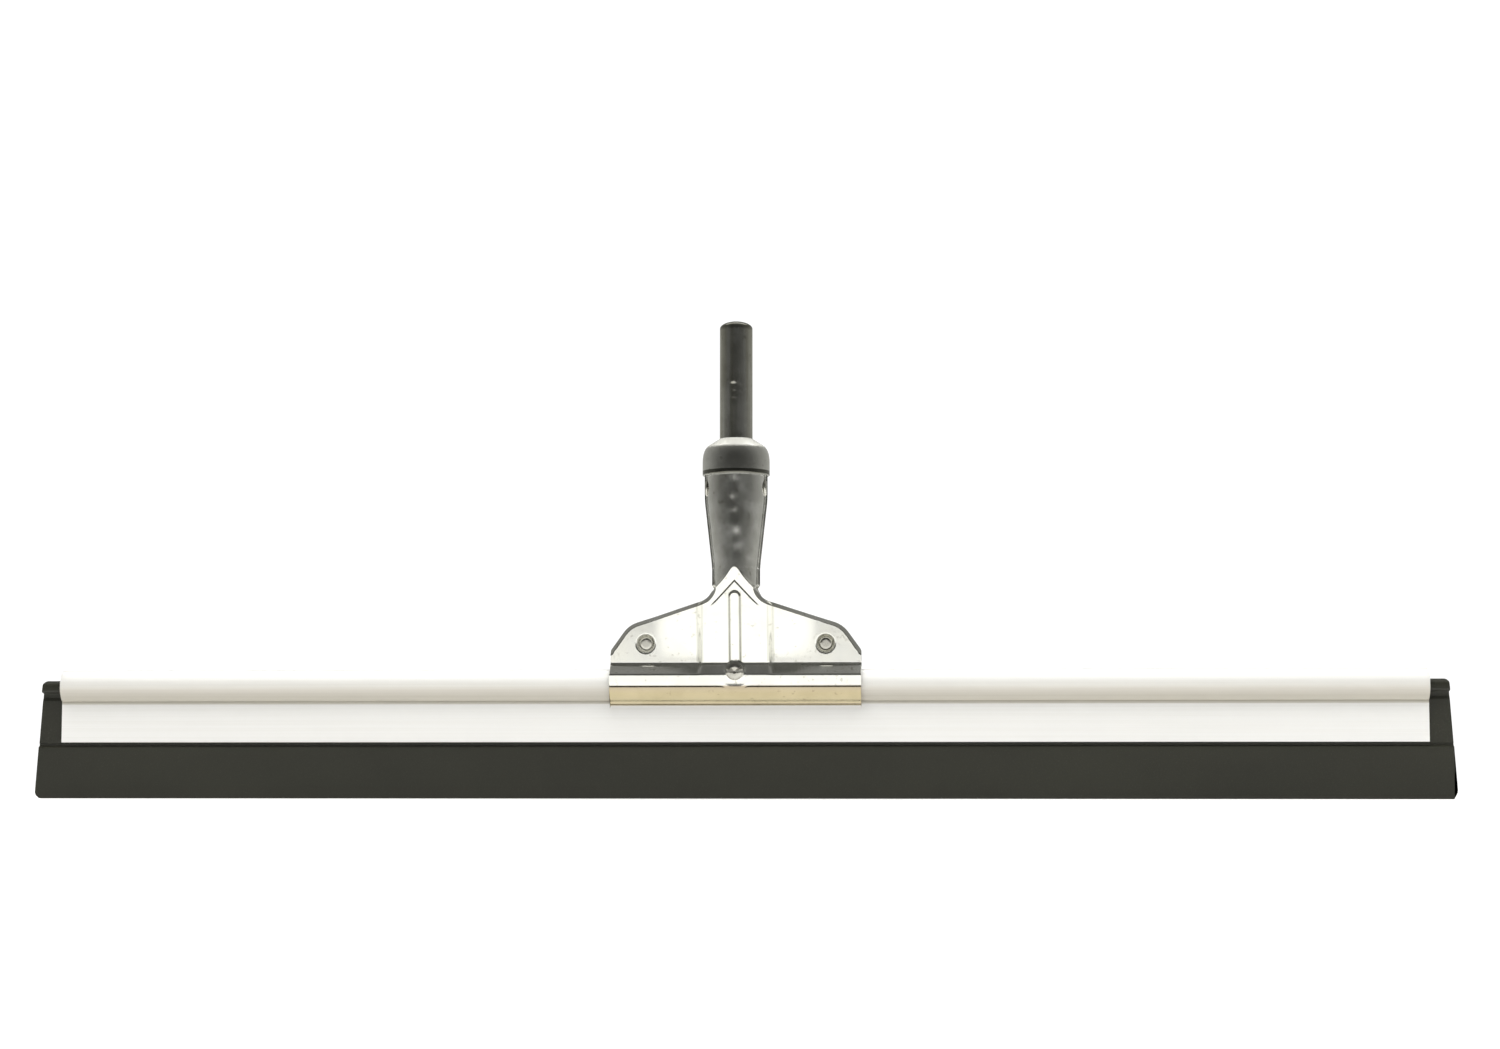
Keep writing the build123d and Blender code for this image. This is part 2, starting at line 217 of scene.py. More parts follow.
# ---- materials ----------------------------------------------------------------------------------
class Shader:
    """A Principled material under construction."""

    def __init__(self, name):
        self.material = bpy.data.materials.new(name)
        self.material.use_nodes = True
        self.tree = self.material.node_tree
        self.bsdf = self.tree.nodes["Principled BSDF"]
        self.coords = self.tree.nodes.new("ShaderNodeTexCoord").outputs["Object"]

    def set(self, **values):
        """Uniform values for the shader's own sockets, with _ for a space in a socket's name."""
        for key, value in values.items():
            self.bsdf.inputs[key.replace("_", " ")].default_value = value
        return self

    def link(self, output, socket):
        """A node's output into one of the shader's sockets."""
        self.tree.links.new(output, self.bsdf.inputs[socket])
        return self

    def noise(self, scale, stretch=(1, 1, 1), detail=4.0):
        """Soft noise of 0 to 1, drawn out along an axis where stretch is small."""
        mapping = self.tree.nodes.new("ShaderNodeMapping")
        mapping.inputs["Scale"].default_value = stretch
        self.tree.links.new(self.coords, mapping.inputs["Vector"])
        node = self.tree.nodes.new("ShaderNodeTexNoise")
        node.inputs["Scale"].default_value = scale
        node.inputs["Detail"].default_value = detail
        node.inputs["Roughness"].default_value = 0.55
        self.tree.links.new(mapping.outputs["Vector"], node.inputs["Vector"])
        return node.outputs["Fac"]

    def ramp(self, value, stops):
        """Colours or greys at positions along a value."""
        node = self.tree.nodes.new("ShaderNodeValToRGB")
        elements = node.color_ramp.elements
        while len(elements) < len(stops):
            elements.new(0.5)
        for element, (position, colour) in zip(elements, stops):
            element.position = position
            grey = isinstance(colour, float)
            element.color = (colour, colour, colour, 1) if grey else (*colour, 1)
        self.tree.links.new(value, node.inputs["Fac"])
        return node.outputs["Color"]

    def height(self, low, high):
        """0 at height low and 1 at height high, in millimetres."""
        split = self.tree.nodes.new("ShaderNodeSeparateXYZ")
        self.tree.links.new(self.coords, split.inputs["Vector"])
        node = self.tree.nodes.new("ShaderNodeMapRange")
        node.inputs["From Min"].default_value = low * MM
        node.inputs["From Max"].default_value = high * MM
        self.tree.links.new(split.outputs["Z"], node.inputs["Value"])
        return node.outputs["Result"]

    def across(self, far):
        """0 on the centre plane and 1 at the distance far to either side, in millimetres."""
        split = self.tree.nodes.new("ShaderNodeSeparateXYZ")
        self.tree.links.new(self.coords, split.inputs["Vector"])
        size = self.tree.nodes.new("ShaderNodeMath")
        size.operation = "ABSOLUTE"
        self.tree.links.new(split.outputs["X"], size.inputs[0])
        node = self.tree.nodes.new("ShaderNodeMapRange")
        node.inputs["From Min"].default_value = 0.0
        node.inputs["From Max"].default_value = far * MM
        self.tree.links.new(size.outputs[0], node.inputs["Value"])
        return node.outputs["Result"]

    def mix(self, factor, first, second, kind="MIX"):
        """Two colours mixed or blended by a factor, each of them a value or a node's output."""
        node = self.tree.nodes.new("ShaderNodeMix")
        node.data_type = "RGBA"
        node.blend_type = kind
        for socket, value in (("Factor", factor), ("A", first), ("B", second)):
            target = [s for s in node.inputs if s.name == socket and s.enabled][0]
            if isinstance(value, bpy.types.NodeSocket):
                self.tree.links.new(value, target)
            elif isinstance(value, float):
                target.default_value = value
            else:
                target.default_value = (*value, 1)
        return [s for s in node.outputs if s.enabled][0]

    def bump(self, layers):
        """Bump from (value, strength, distance in millimetres) layers, one on another."""
        normal = None
        for value, strength, distance in layers:
            node = self.tree.nodes.new("ShaderNodeBump")
            node.inputs["Strength"].default_value = strength
            node.inputs["Distance"].default_value = distance * MM
            self.tree.links.new(value, node.inputs["Height"])
            if normal is not None:
                self.tree.links.new(normal, node.inputs["Normal"])
            normal = node.outputs["Normal"]
        self.tree.links.new(normal, self.bsdf.inputs["Normal"])
        return self


def plated_steel(
    name, bright, shade, rough_low, rough_high, painted_light_bands=None, streaks=None, satin=None, step_shade=None,
):
    """Bright plating over steel: cloudy tone, fine wiping scratches and a little grain.

    Tints by height paint shade and reflections on it, streaks darkens upright streaks, satin makes it less
    metallic above a height, and dark lines at distances from the centre plane paint shade along its creases
    and steps.
    """
    shader = Shader(name)
    clouds = shader.noise(95, detail=5.0)
    colour = shader.ramp(clouds, [(0.32, shade), (0.62, bright)])
    # painted shade and painted reflections, tinted by height
    if painted_light_bands:
        low, high, stops = painted_light_bands
        colour = shader.mix(1.0, colour, shader.ramp(shader.height(low, high), stops), kind="MULTIPLY")
    if streaks:
        lines = shader.noise(210, stretch=(1, 1, 0.03), detail=2.0)
        tone = shader.ramp(lines, [(0.40, streaks), (0.56, (1.0, 1.0, 1.0))])
        colour = shader.mix(1.0, colour, tone, kind="MULTIPLY")
    # painted shade: dark lines at distances from the centre plane, faded in by height
    if step_shade:
        far, lines, low, high, fade = step_shade
        lines = shader.ramp(shader.across(far), lines)
        lines = shader.mix(shader.ramp(shader.height(low, high), fade), PLAIN, lines)
        colour = shader.mix(1.0, colour, lines, kind="MULTIPLY")
    specks = shader.ramp(shader.noise(420, detail=2.0), [(0.28, (0.55, 0.53, 0.48)), (0.36, (1.0, 1.0, 1.0))])
    colour = shader.mix(0.5, colour, specks, kind="MULTIPLY")
    shader.link(colour, "Base Color").set(Metallic=1.0)
    if satin:
        low, high = satin
        shader.link(shader.ramp(shader.height(low, high), [(0.0, 1.0), (1.0, 0.12)]), "Metallic")
    scratches = shader.noise(900, stretch=(1, 1, 0.06), detail=3.0)
    shader.link(shader.ramp(clouds, [(0.3, rough_low), (0.75, rough_high)]), "Roughness")
    shader.bump([(shader.noise(55, detail=2.0), 0.16, 0.35), (scratches, 0.05, 0.03)])
    return shader.material


def drawn_aluminium():
    """Satin drawn aluminium: fine die lines along X, slightly cloudy, with painted shade on the bead tube."""
    shader = Shader("drawn_aluminium")
    lines = shader.noise(1500, stretch=(0.004, 1, 1), detail=3.0)
    clouds = shader.noise(14, stretch=(0.25, 1, 1), detail=4.0)
    base = shader.ramp(clouds, [(0.3, (0.94, 0.935, 0.92)), (0.7, (0.98, 0.98, 0.97))])
    streaks = shader.ramp(lines, [(0.35, (0.95, 0.945, 0.935)), (0.6, (1.0, 1.0, 1.0))])
    colour = shader.mix(0.6, base, streaks, kind="MULTIPLY")
    # painted shade and painted reflection: the bead tube's underside is darker and warmer, and its top edge a
    # little greyer
    tone = shader.ramp(shader.height(38.0, 56.0), [
        (0.089, (1.0, 1.0, 1.0)), (0.122, (0.60, 0.57, 0.51)), (0.278, (0.57, 0.54, 0.48)),
        (0.444, (0.72, 0.69, 0.64)), (0.533, (0.86, 0.85, 0.82)), (0.667, (0.94, 0.94, 0.93)),
        (0.861, (1.0, 1.0, 1.0)), (0.92, (0.80, 0.80, 0.79)),
    ])
    shader.link(shader.mix(1.0, colour, tone, kind="MULTIPLY"), "Base Color")
    shader.link(shader.ramp(lines, [(0.3, 0.42), (0.7, 0.3)]), "Roughness")
    shader.set(Metallic=0.12)
    shader.bump([(lines, 0.12, 0.03), (clouds, 0.05, 0.4)])
    return shader.material


def black_rubber():
    """Matte black rubber: slightly uneven tone, faint moulding lines along X and a fine grain."""
    shader = Shader("black_rubber")
    patches = shader.noise(22, stretch=(0.5, 1, 1), detail=6.0)
    base = shader.ramp(patches, [(0.3, (0.016, 0.016, 0.010)), (0.7, (0.027, 0.027, 0.019))])
    grain = shader.noise(1800, detail=3.0)
    dust = shader.ramp(grain, [(0.55, (0.0, 0.0, 0.0)), (0.8, (0.02, 0.02, 0.017))])
    shader.link(shader.mix(1.0, base, dust, kind="ADD"), "Base Color")
    shader.link(shader.ramp(patches, [(0.3, 0.52), (0.7, 0.68)]), "Roughness")
    shader.bump([(shader.noise(500, stretch=(0.01, 1, 1)), 0.1, 0.05), (grain, 0.18, 0.02)])
    return shader.material


def floor_paint():
    """Plain matte studio floor, with a glow of its own that keeps it pale."""
    shader = Shader("studio_floor")
    tone = shader.ramp(shader.noise(3, detail=3.0), [(0.3, (0.60, 0.60, 0.592)), (0.7, (0.64, 0.64, 0.632))])
    shader.link(tone, "Base Color").link(tone, "Emission Color").set(Roughness=0.9, Emission_Strength=0.78)
    return shader.material


RUBBER = black_rubber()
ALUMINIUM = drawn_aluminium()
PLAIN = (1.0, 1.0, 1.0)
# painted reflection: the jaw's lower part is tinted tan up to its crease, with painted shade darker at its
# lower edge and just below the crease
JAW_REFLECTION_TINT = (39.0, 49.0, [
    (0.03, (0.42, 0.36, 0.27)), (0.16, (0.72, 0.63, 0.44)), (0.5, (0.64, 0.55, 0.37)),
    (0.80, (0.54, 0.46, 0.36)), (0.88, PLAIN),
])
# painted shade: dark lines down both sides of the rib and of the panel's steps: reach, lines, lowest,
# highest, fade
RIB_SIDE, STEP_INNER = (0.42, 0.42, 0.38), (0.74, 0.74, 0.70)
STEP_SLOPE, STEP_OUTER = (0.93, 0.93, 0.90), (0.70, 0.70, 0.66)
STEP_SHADE_LINES = (20.0, [
    (0.075, PLAIN), (0.10, RIB_SIDE), (0.125, RIB_SIDE), (0.15, PLAIN),
    (0.66, PLAIN), (0.69, STEP_INNER), (0.72, STEP_SLOPE),
    (0.76, STEP_SLOPE), (0.80, STEP_OUTER), (0.84, PLAIN),
], 56.0, 88.0, [(0.03, 0.0), (0.06, 1.0), (0.55, 0.8), (0.93, 0.75), (0.97, 0.0)])
# painted shade: the stem's domed tip is darker above about 199 mm
STEM_TIP_SHADE = (190.0, 210.0, [(0.44, PLAIN), (0.52, (0.35, 0.35, 0.33))])
# painted shade: the ferrule's foot is dark below about 138.5 mm
FERRULE_FOOT_SHADE = (138.0, 141.0, [(0.16, (0.22, 0.22, 0.20)), (0.24, PLAIN)])
FERRULE_SATIN = (148.0, 149.2)

PRESSED = plated_steel(
    "pressed_steel", (0.84, 0.84, 0.80), (0.76, 0.755, 0.70), 0.13, 0.24, painted_light_bands=JAW_REFLECTION_TINT, step_shade=STEP_SHADE_LINES,
)
BAR = plated_steel(
    "stem_steel", (0.70, 0.70, 0.66), (0.55, 0.545, 0.50), 0.10, 0.20,
    painted_light_bands=STEM_TIP_SHADE, streaks=(0.72, 0.71, 0.65),
)
SPUN = plated_steel(
    "ferrule_steel", (0.78, 0.78, 0.74), (0.66, 0.655, 0.61), 0.08, 0.16,
    painted_light_bands=FERRULE_FOOT_SHADE, satin=FERRULE_SATIN,
)
FASTENER = plated_steel("fastener_steel", (0.58, 0.57, 0.52), (0.42, 0.41, 0.37), 0.2, 0.34)


# ---- rubber blade -------------------------------------------------------------------------------
def blade_end(z, side):
    """How far the blade reaches in X at height z. The -X lower corner is round, the +X one bevelled."""
    reach = BLADE_HALF + 0.2 - (END_LEAN + 0.2) * z / BLADE_TOP
    corner = 3.0
    if z < corner and side < 0:
        reach -= corner - math.sqrt(corner ** 2 - (corner - z) ** 2)
    if z < corner and side > 0:
        reach -= 0.6 * (corner - z)
    crown = 1.8
    if z > BLADE_TOP - crown:
        reach -= crown - math.sqrt(max(crown ** 2 - (z - BLADE_TOP + crown) ** 2, 0.0))
    return min(reach, BLADE_HALF)


def make_blade():
    """Lip, web and mushroom bead in one section. Each corner has its place and its rounding."""
    half_section = [
        ((LIP_HALF, 0.0), 0.25), ((LIP_HALF, LIP_HEIGHT), 0.6), ((CUT_HALF, LIP_HEIGHT + 0.2), 0.3),
        ((CUT_HALF, LIP_HEIGHT + 1.3), 0.3), ((WEB_HALF, LIP_HEIGHT + 1.5), 0.3), ((WEB_HALF, WEB_TOP), 0.5),
        ((CUT_HALF, 42.8), 0.5), ((CUT_HALF, 44.6), 0.5), ((4.3, 45.2), 1.0), ((3.8, 48.4), 2.0),
        ((1.5, BLADE_TOP), 1.2),
    ]
    corners = half_section + [((-y, z), r) for (y, z), r in reversed(half_section)]
    section = subdivide(round_corners([c[0] for c in corners], [c[1] for c in corners]), 1.2)
    ends = [0.0, 0.0004, 0.001, 0.002]
    stations = ends + list(np.linspace(0.01, 0.99, 50)) + [1 - s for s in reversed(ends)]
    return along_x(
        "blade_rubber_skin", section, stations, blade_end, RUBBER, "blade", "rubber", ("blade_rubber",),
    )


# ---- aluminium channel --------------------------------------------------------------------------
def channel_path(radius, lip_half, fillet):
    """One wall of the channel from the front lip's foot over the bead tube to the rear lip's foot."""
    join = math.asin(lip_half / radius)
    arc = np.linspace(join, 2 * math.pi - join, 73)
    path = [(-radius * math.sin(a), TUBE_Z - radius * math.cos(a)) for a in arc]
    junction = path[0][1]
    blend = [(-lip_half - fillet * 0.12, junction - fillet * 0.3), (-lip_half, junction - fillet)]
    lips = list(np.linspace(junction - 2 * fillet, CHANNEL_BOTTOM, 8))
    front = blend + [(-lip_half, z) for z in lips]
    return list(reversed(front)) + path + [(-y, z) for y, z in front]


def make_channel():
    """Bead tube and two lips as one bent wall, with a small crimp across the tube's crown."""
    fillet, chamfer, chamfer_rise = 0.9, 0.25, 0.3
    outer = channel_path(TUBE_RADIUS, CHANNEL_LIP_HALF, fillet)
    inner = channel_path(TUBE_RADIUS - CHANNEL_WALL, CHANNEL_LIP_HALF - CHANNEL_WALL, fillet)
    outer[0] = (outer[0][0] + chamfer, outer[0][1])
    outer[-1] = (outer[-1][0] - chamfer, outer[-1][1])
    outer.insert(1, (-CHANNEL_LIP_HALF, CHANNEL_BOTTOM + chamfer_rise))
    outer.insert(-1, (CHANNEL_LIP_HALF, CHANNEL_BOTTOM + chamfer_rise))
    section = outer + list(reversed(inner))
    around = len(section)
    crimp_x, crimp_reach, crimp_depth = -215.0, 3.0, 0.55
    end_inset = 0.12
    stations = [-CHANNEL_HALF, -CHANNEL_HALF + chamfer]
    stations += list(np.linspace(-CHANNEL_HALF + 3, crimp_x - 9, 12))
    stations += list(np.linspace(crimp_x - 6, crimp_x + 6, 25))
    stations += list(np.linspace(crimp_x + 9, CHANNEL_HALF - 3, 60))
    stations += [CHANNEL_HALF - chamfer, CHANNEL_HALF]
    points = []
    for i, x in enumerate(stations):
        inset = end_inset if i in (0, len(stations) - 1) else 0.0
        dent = crimp_depth * math.exp(-((x - crimp_x) / crimp_reach) ** 2)
        for j, (y, z) in enumerate(section):
            offset = np.array([y, z - TUBE_Z])
            distance = np.linalg.norm(offset)
            crown = max(0.0, offset[1] / distance) ** 6 if z > TUBE_Z else 0.0
            pull = inset if j < len(outer) else -inset
            point = offset * (1 - (dent * crown + (pull if z > TUBE_Z - 5 else 0.0)) / distance)
            points.append((x, point[0], point[1] + TUBE_Z))
    return new_piece(
        "channel_skin", points, ring_faces(len(stations), around), ALUMINIUM, "bracket", "aluminium",
        ("channel",),
    )


# ---- bracket pressings --------------------------------------------------------------------------
def wing_outline():
    """Half outline of the pressing seen from the front, as (half width, height) points going up."""
    corners = [
        (BRACKET_HALF, JAW_BOTTOM), (BRACKET_HALF, 62.6), (45.3, 73.2), (NECK_RADIUS, 84.5),
        (NECK_RADIUS, GABLE_APEX_Z), (0.0, GABLE_APEX_Z), (0.0, JAW_BOTTOM),
    ]
    rounded = round_corners(corners, [0, 2.5, 12.0, 14.0, 0, 0, 0], steps=14)
    on_centre = 1.0
    return [p for p in rounded if p[0] > on_centre]


OUTLINE = np.array(wing_outline())
# a straight taper whose ends are rounded into the neck below and the round socket above
EASING = ((-0.08, 0.0, 0.08, 0.16, 0.84, 0.92, 1.0, 1.08), (0.0, 0.012, 0.06, 0.15, 0.85, 0.94, 0.988, 1.0))


def socket_wall(z):
    """Half width of the tapered socket."""
    share = (z - GABLE_APEX_Z) / (TAPER_TOP - GABLE_APEX_Z)
    eased = np.interp(share, EASING[0], EASING[1])
    return NECK_RADIUS + (SOCKET_RADIUS - NECK_RADIUS) * eased


def half_width(z):
    """Half width of the pressing at height z."""
    wing = np.interp(z, OUTLINE[:, 1], OUTLINE[:, 0])
    return np.where(z > GABLE_APEX_Z, socket_wall(z), wing)


def wing_depth(z):
    """Depth of the wings' flat face, which comes forward as it rises."""
    return WING_FOOT + (z - JAW_TOP) * (WING_TOP - WING_FOOT) / (GABLE_APEX_Z - JAW_TOP)


def rim_distance(x, z):
    """Distance from a point to the wings' outline."""
    best = np.full(x.shape, 1e9)
    ax = np.abs(x)
    for (x0, z0), (x1, z1) in zip(OUTLINE[1:-1], OUTLINE[2:]):
        dx, dz = x1 - x0, z1 - z0
        t = np.clip(((ax - x0) * dx + (z - z0) * dz) / (dx * dx + dz * dz), 0, 1)
        best = np.minimum(best, np.hypot(ax - x0 - t * dx, z - z0 - t * dz))
    return best


# shallow dents in the socket's front and back: x, height, reach and depth
SOCKET_DENTS = (
    (0.2, 133.0, 1.6, 0.13), (-0.9, 125.0, 1.5, 0.15), (-0.2, 119.5, 1.8, 0.2), (0.8, 110.8, 1.6, 0.15),
    (1.2, 104.0, 2.2, 0.1),
)


def jaw_depth(x, z, foot):
    """Depth of the jaw's outer face, given the depth of the wings or the panel at their foot."""
    # the crease dips under the screw's seat
    bulge_reach, bulge_dip = 4.2, 1.6
    bulge = np.exp(-(x / bulge_reach) ** 4)
    crease = CREASE_Z - bulge_dip * bulge
    # below the crease the jaw wraps the bead tube, and above it a face leads to a sloping shoulder
    arc_radius, shallowest = SEAT_FACE - 0.6, 4.3
    arc = np.sqrt(np.maximum(arc_radius ** 2 - (z - TUBE_Z) ** 2, shallowest ** 2))
    face = np.interp(z, [CREASE_Z + 0.6, BAND_BOTTOM], [SEAT_FACE - 0.35, SEAT_FACE])
    slope = SEAT_FACE + (foot + 0.9 - SEAT_FACE) * (z - BAND_BOTTOM) / (JAW_TOP - BAND_BOTTOM)
    shoulder = np.minimum(face, slope)
    step_height, groove_depth, groove_reach = 0.7, 0.14, 0.5
    step = smooth_step((z - crease + 0.1) / step_height)
    groove = (groove_depth - 0.1 * bulge) * np.exp(-((z - crease) / groove_reach) ** 2)
    return arc + (shoulder - arc) * step - groove


def upper_depth(x, z):
    """Depth of the wings, the gabled panel and the socket, without the jaw."""
    ax = np.abs(x)
    wing = wing_depth(z)
    # the wings' edges are bevelled, more so along their top
    reach = np.interp(z, [57.5, 60.0, 63.0, 88.0, 94.0], [0.01, 0.8, 1.6, 1.6, 0.01])
    bevel = reach * (1 - np.clip(rim_distance(x, z) / reach, 0, 1))
    width = np.where(z > GABLE_APEX_Z, half_width(z), np.minimum(half_width(z), NECK_RADIUS + 0.6))
    tube = SOCKET_RADIUS * np.sqrt(np.maximum(1 - (x / width) ** 2, 0))
    neck = tube * fade(z, 80.0, 89.0)
    # gabled centre panel, leaning back from the socket's front to its own foot
    panel = PANEL_FOOT + (z - JAW_TOP) * (SOCKET_RADIUS - PANEL_FOOT) / (GABLE_APEX_Z - JAW_TOP)
    panel = np.minimum(panel, SOCKET_RADIUS)
    # the wings swell forward to meet the panel towards their top
    lift_share, wings_end = 0.85, 92.0
    lift = lift_share * (panel - wing) * fade(z, 59.0, 79.0) * fade(ax, 36.0, 16.0) * fade(z, 91.0, 83.0)
    base = np.where(z > wings_end, tube, np.maximum((wing + lift) * fade(z, 90.0, 85.0), neck))
    # how far a point lies outside the gable's line
    run, rise = GABLE_FOOT[0], GABLE_APEX_Z - GABLE_FOOT[1]
    outside = (ax * rise + (z - GABLE_APEX_Z) * run) / math.hypot(run, rise)
    side = np.clip((PANEL_EDGE - ax) / PANEL_STEP, 0, 1)
    gable_step, thinnest = 0.9, 0.4
    gable = np.clip(1 - outside / gable_step, 0, 1)
    inside = smooth_step(np.minimum(side, gable))
    depth = base + (panel - base) * inside
    depth = np.minimum(depth, np.maximum(depth - bevel, thinnest))
    # a fine groove inside the gable's edges
    groove_depth, groove_inset, groove_reach = 0.3, 3.4, 0.5
    groove = groove_depth * np.exp(-((outside + groove_inset) / groove_reach) ** 2) * (z < GABLE_APEX_Z)
    return depth - groove * fade(z, 80.0, 84.0)


def pressing_depth(x, z):
    """Depth of the pressing's outer face in front of the parting plane."""
    depth = upper_depth(x, z)
    foot = upper_depth(x, np.full(z.shape, JAW_TOP))
    # centre rib
    rib_line = np.clip(z, JAW_TOP - 3.0, RIB_TOP - 2.4)
    from_rib = np.hypot(x, z - rib_line)
    depth = depth + RIB_RISE * smooth_step((RIB_HALF - from_rib) / RIB_SIDE_WIDTH)
    # dimples at the rivets
    from_rivet = np.hypot(np.abs(x) - RIVET_X, z - RIVET_Z)
    depth = depth - (wing_depth(z) - SHEET - 0.1) * smooth_step((DIMPLE_RADIUS - from_rivet) / DIMPLE_SIDE)
    for at_x, at_z, reach, sink in SOCKET_DENTS:
        dent = sink * np.exp(-((x - at_x) / reach) ** 2 - ((z - at_z) / (1.5 * reach)) ** 2)
        depth = depth - np.where(z > GABLE_APEX_Z, dent, 0.0)
    # jaw, with a soft hollow where it bends out of the wings
    turn = fade(z, JAW_TOP - 0.8, JAW_TOP + 0.1)
    depth = jaw_depth(x, z, foot) * (1 - turn) + depth * turn
    # flat seat round the screw
    from_screw = np.hypot(x, z - SCREW_Z)
    seat = smooth_step((SEAT_RADIUS - from_screw) / SEAT_SIDE)
    return depth + (np.maximum(depth, SEAT_FACE) - depth) * seat


def make_pressing(name, front, node):
    """One pressed shell as a grid over its outline, given its sheet's thickness by a modifier."""
    rows = np.unique(np.concatenate([
        np.linspace(JAW_BOTTOM, 62.0, 64), np.linspace(62.0, 86.0, 120), np.linspace(86.0, 99.0, 44),
        np.linspace(99.0, SOCKET_TOP, 50),
    ]))
    # columns closer together over the centre rib
    rib_share = 0.07
    t = np.concatenate([np.linspace(0, rib_share, 16), np.linspace(rib_share, 1, 136)[1:]])
    t = np.concatenate([-t[:0:-1], t])
    round_spread = np.sin(t * math.pi / 2)
    spread = 0.55 * t + 0.45 * round_spread
    share = fade(rows, 86.0, 94.0)[:, None]
    across = spread[None, :] * (1 - share) + round_spread[None, :] * share
    x = across * half_width(rows)[:, None]
    z = np.repeat(rows[:, None], len(t), axis=1)
    depth = pressing_depth(x, z)
    # above the jaw, a wall down each side edge almost back to the parting plane
    wall = np.where(rows > JAW_TOP + 0.6, 0.05, depth[:, 0])[:, None]
    x, z = np.hstack([x[:, :1], x, x[:, -1:]]), np.hstack([z[:, :1], z, z[:, -1:]])
    depth = np.hstack([wall, depth, wall])
    sign = -1.0 if front else 1.0
    points = np.stack([x, sign * depth, z], axis=-1).reshape(-1, 3)
    columns = x.shape[1]
    faces = []
    for i in range(len(rows) - 1):
        for j in range(columns - 1):
            a = i * columns + j
            quad = (a, a + 1, a + columns + 1, a + columns)
            faces.append(quad if front else quad[::-1])
    piece = new_piece(name, points, faces, PRESSED, "bracket", "plated_steel", (node,), sharp=60.0)
    solid = piece.modifiers.new("sheet", "SOLIDIFY")
    solid.thickness = (SHEET - 0.1) * MM
    solid.offset = -1.0
    return piece


# ---- stem, ferrule and pin ----------------------------------------------------------------------
# x, height, reach in x, reach in z and depth of the stem's and the ferrule's dimples
STEM_DIMPLES = (
    (-0.9, 175.0, 1.7, 1.1, 0.2), (-0.3, 171.8, 1.0, 1.3, 0.15), (-0.5, 168.8, 0.9, 1.2, 0.13),
    (2.6, 174.4, 1.4, 0.8, 0.08), (2.6, 171.2, 1.2, 0.8, 0.08), (-1.6, 158.9, 1.2, 1.6, 0.1),
)
FERRULE_DIMPLES = ((0.0, 142.6, 1.8, 1.9, 0.3),)


def dimpled(points, dimples):
    """Points of a turned piece, pushed in at dimples on its front: x, height, two reaches, depth."""
    moved = []
    for p in points:
        x, y, z = p
        for at_x, at_z, reach_x, reach_z, sink in dimples:
            if y < 0:
                y += sink * math.exp(-((x - at_x) / reach_x) ** 2 - ((z - at_z) / reach_z) ** 2)
        moved.append((x, y, z))
    return moved


def make_stem():
    """Bar with a domed tip, on a wider foot that the socket hides."""
    low, top = STEM_LOW[2], STEM_HIGH[2]
    dome_height, dome_steps = 3.2, 12
    shoulder = top - dome_height
    dome = []
    for k in range(dome_steps):
        angle = math.pi / 2 * k / dome_steps
        dome.append((STEM_RADIUS * math.cos(angle), shoulder + dome_height * math.sin(angle)))
    dome.append((NEAR_AXIS, top))
    foot_radius, waist_radius = 11.0, 6.8
    profile = [(NEAR_AXIS, low), (9.0, low), (10.4, low + 1.0), (foot_radius, 122.0), (foot_radius, 141.0)]
    profile += [(waist_radius, 146.0), (waist_radius, 150.0), (STEM_RADIUS, 150.2)]
    profile += [(STEM_RADIUS, z) for z in np.linspace(152.0, shoulder - 0.5, 120)] + dome
    points, faces = turned(profile, (0, 0, 1), (0, 0, 0))
    points = dimpled(points, STEM_DIMPLES)
    return new_piece("stem_skin", points, faces, BAR, "bracket", "stem_steel", ("stem",))


def make_ferrule():
    """Skirt round the socket's mouth, rounded over into a cone that closes on the stem."""
    low, high = FERRULE_LOW[2], FERRULE_HIGH[2]
    radius = FERRULE_HIGH[0] - 0.01
    belly = 142.0
    mouth = STEM_RADIUS + 0.05
    cone_x, cone_z = 11.6, 149.5
    wall, roof = 1.1, 0.6
    outer = [(radius - 0.25, low), (radius - 0.07, low + 0.2)]
    outer += [(radius, z) for z in np.linspace(low + 0.5, belly, 9)]
    # Bezier round from the skirt into the conical top
    slope = (cone_x - mouth) / (high - cone_z)
    bend = (radius, cone_z - (radius - cone_x) / slope)
    bend_steps = 19
    for k in range(1, bend_steps + 1):
        t = k / bend_steps
        outer.append((
            (1 - t) ** 2 * radius + 2 * t * (1 - t) * bend[0] + t * t * cone_x,
            (1 - t) ** 2 * belly + 2 * t * (1 - t) * bend[1] + t * t * cone_z,
        ))
    outer += [(cone_x + (mouth - cone_x) * t, cone_z + (high - cone_z) * t) for t in np.linspace(0.1, 1, 10)]
    lip = [(mouth, high - 0.15), (mouth, high - 1.2)]
    inner = [(r - wall, z - roof) for r, z in reversed(outer) if r - wall > mouth + 0.05 and z > low + 1]
    inner.append((radius - 1.6, low))
    profile = outer + lip + inner
    around = 96
    points, _ = turned(profile, (0, 0, 1), (0, 0, 0), around)
    points = dimpled(points, FERRULE_DIMPLES)
    faces = loop_faces(len(profile), around)
    return new_piece("ferrule_skin", points, faces, SPUN, "bracket", "ferrule_steel", ("ferrule",))


def rounded_head(radius, height, flat):
    """Profile of a rivet's or a screw's head from its underside over a round rim to its flat top."""
    profile = [(radius * 0.02, 0.0), (radius * 0.92, 0.0), (radius, height * 0.15)]
    rim_steps = 10
    for k in range(1, rim_steps + 1):
        angle = math.pi / 2 * k / rim_steps
        profile.append((flat + (radius - flat) * math.cos(angle), height * (0.25 + 0.75 * math.sin(angle))))
    return profile + [(flat * 0.6, height), (NEAR_AXIS, height)]


